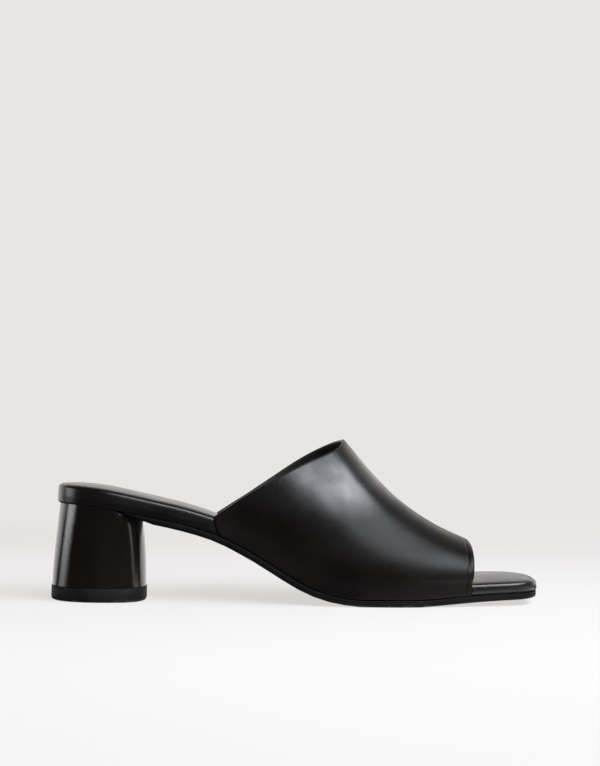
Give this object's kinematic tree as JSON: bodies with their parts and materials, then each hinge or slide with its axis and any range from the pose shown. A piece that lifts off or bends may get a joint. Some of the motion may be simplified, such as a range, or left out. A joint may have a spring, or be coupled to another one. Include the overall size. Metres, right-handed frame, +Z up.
{
  "type": "heeled leather mule",
  "caption": "Backless leather mule with a wrapped footbed, a hollow upper open at the toe and a block heel with a rubber top piece.",
  "frame": {"origin": "point on the floor under the heel, on the flat face of the rubber top piece, in the shoe's middle plane", "axes": "+X from heel to toe, +Y to the inner side of the foot, +Z up"},
  "size_m": [0.2452, 0.0855, 0.0818],
  "materials": {
    "smooth_leather": "black, smooth, satin gloss",
    "lining_leather": "black, fine grain, soft sheen",
    "painted_sole": "black painted edge and underside, half matt",
    "heel_rubber": "black, matt"
  },
  "bodies": {
    "root": {"outsole": "painted_sole", "footbed": "smooth_leather", "insole_sock": "lining_leather", "upper": "smooth_leather", "heel_block": "smooth_leather", "heel_top_piece": "heel_rubber"}
  },
  "joints": []
}
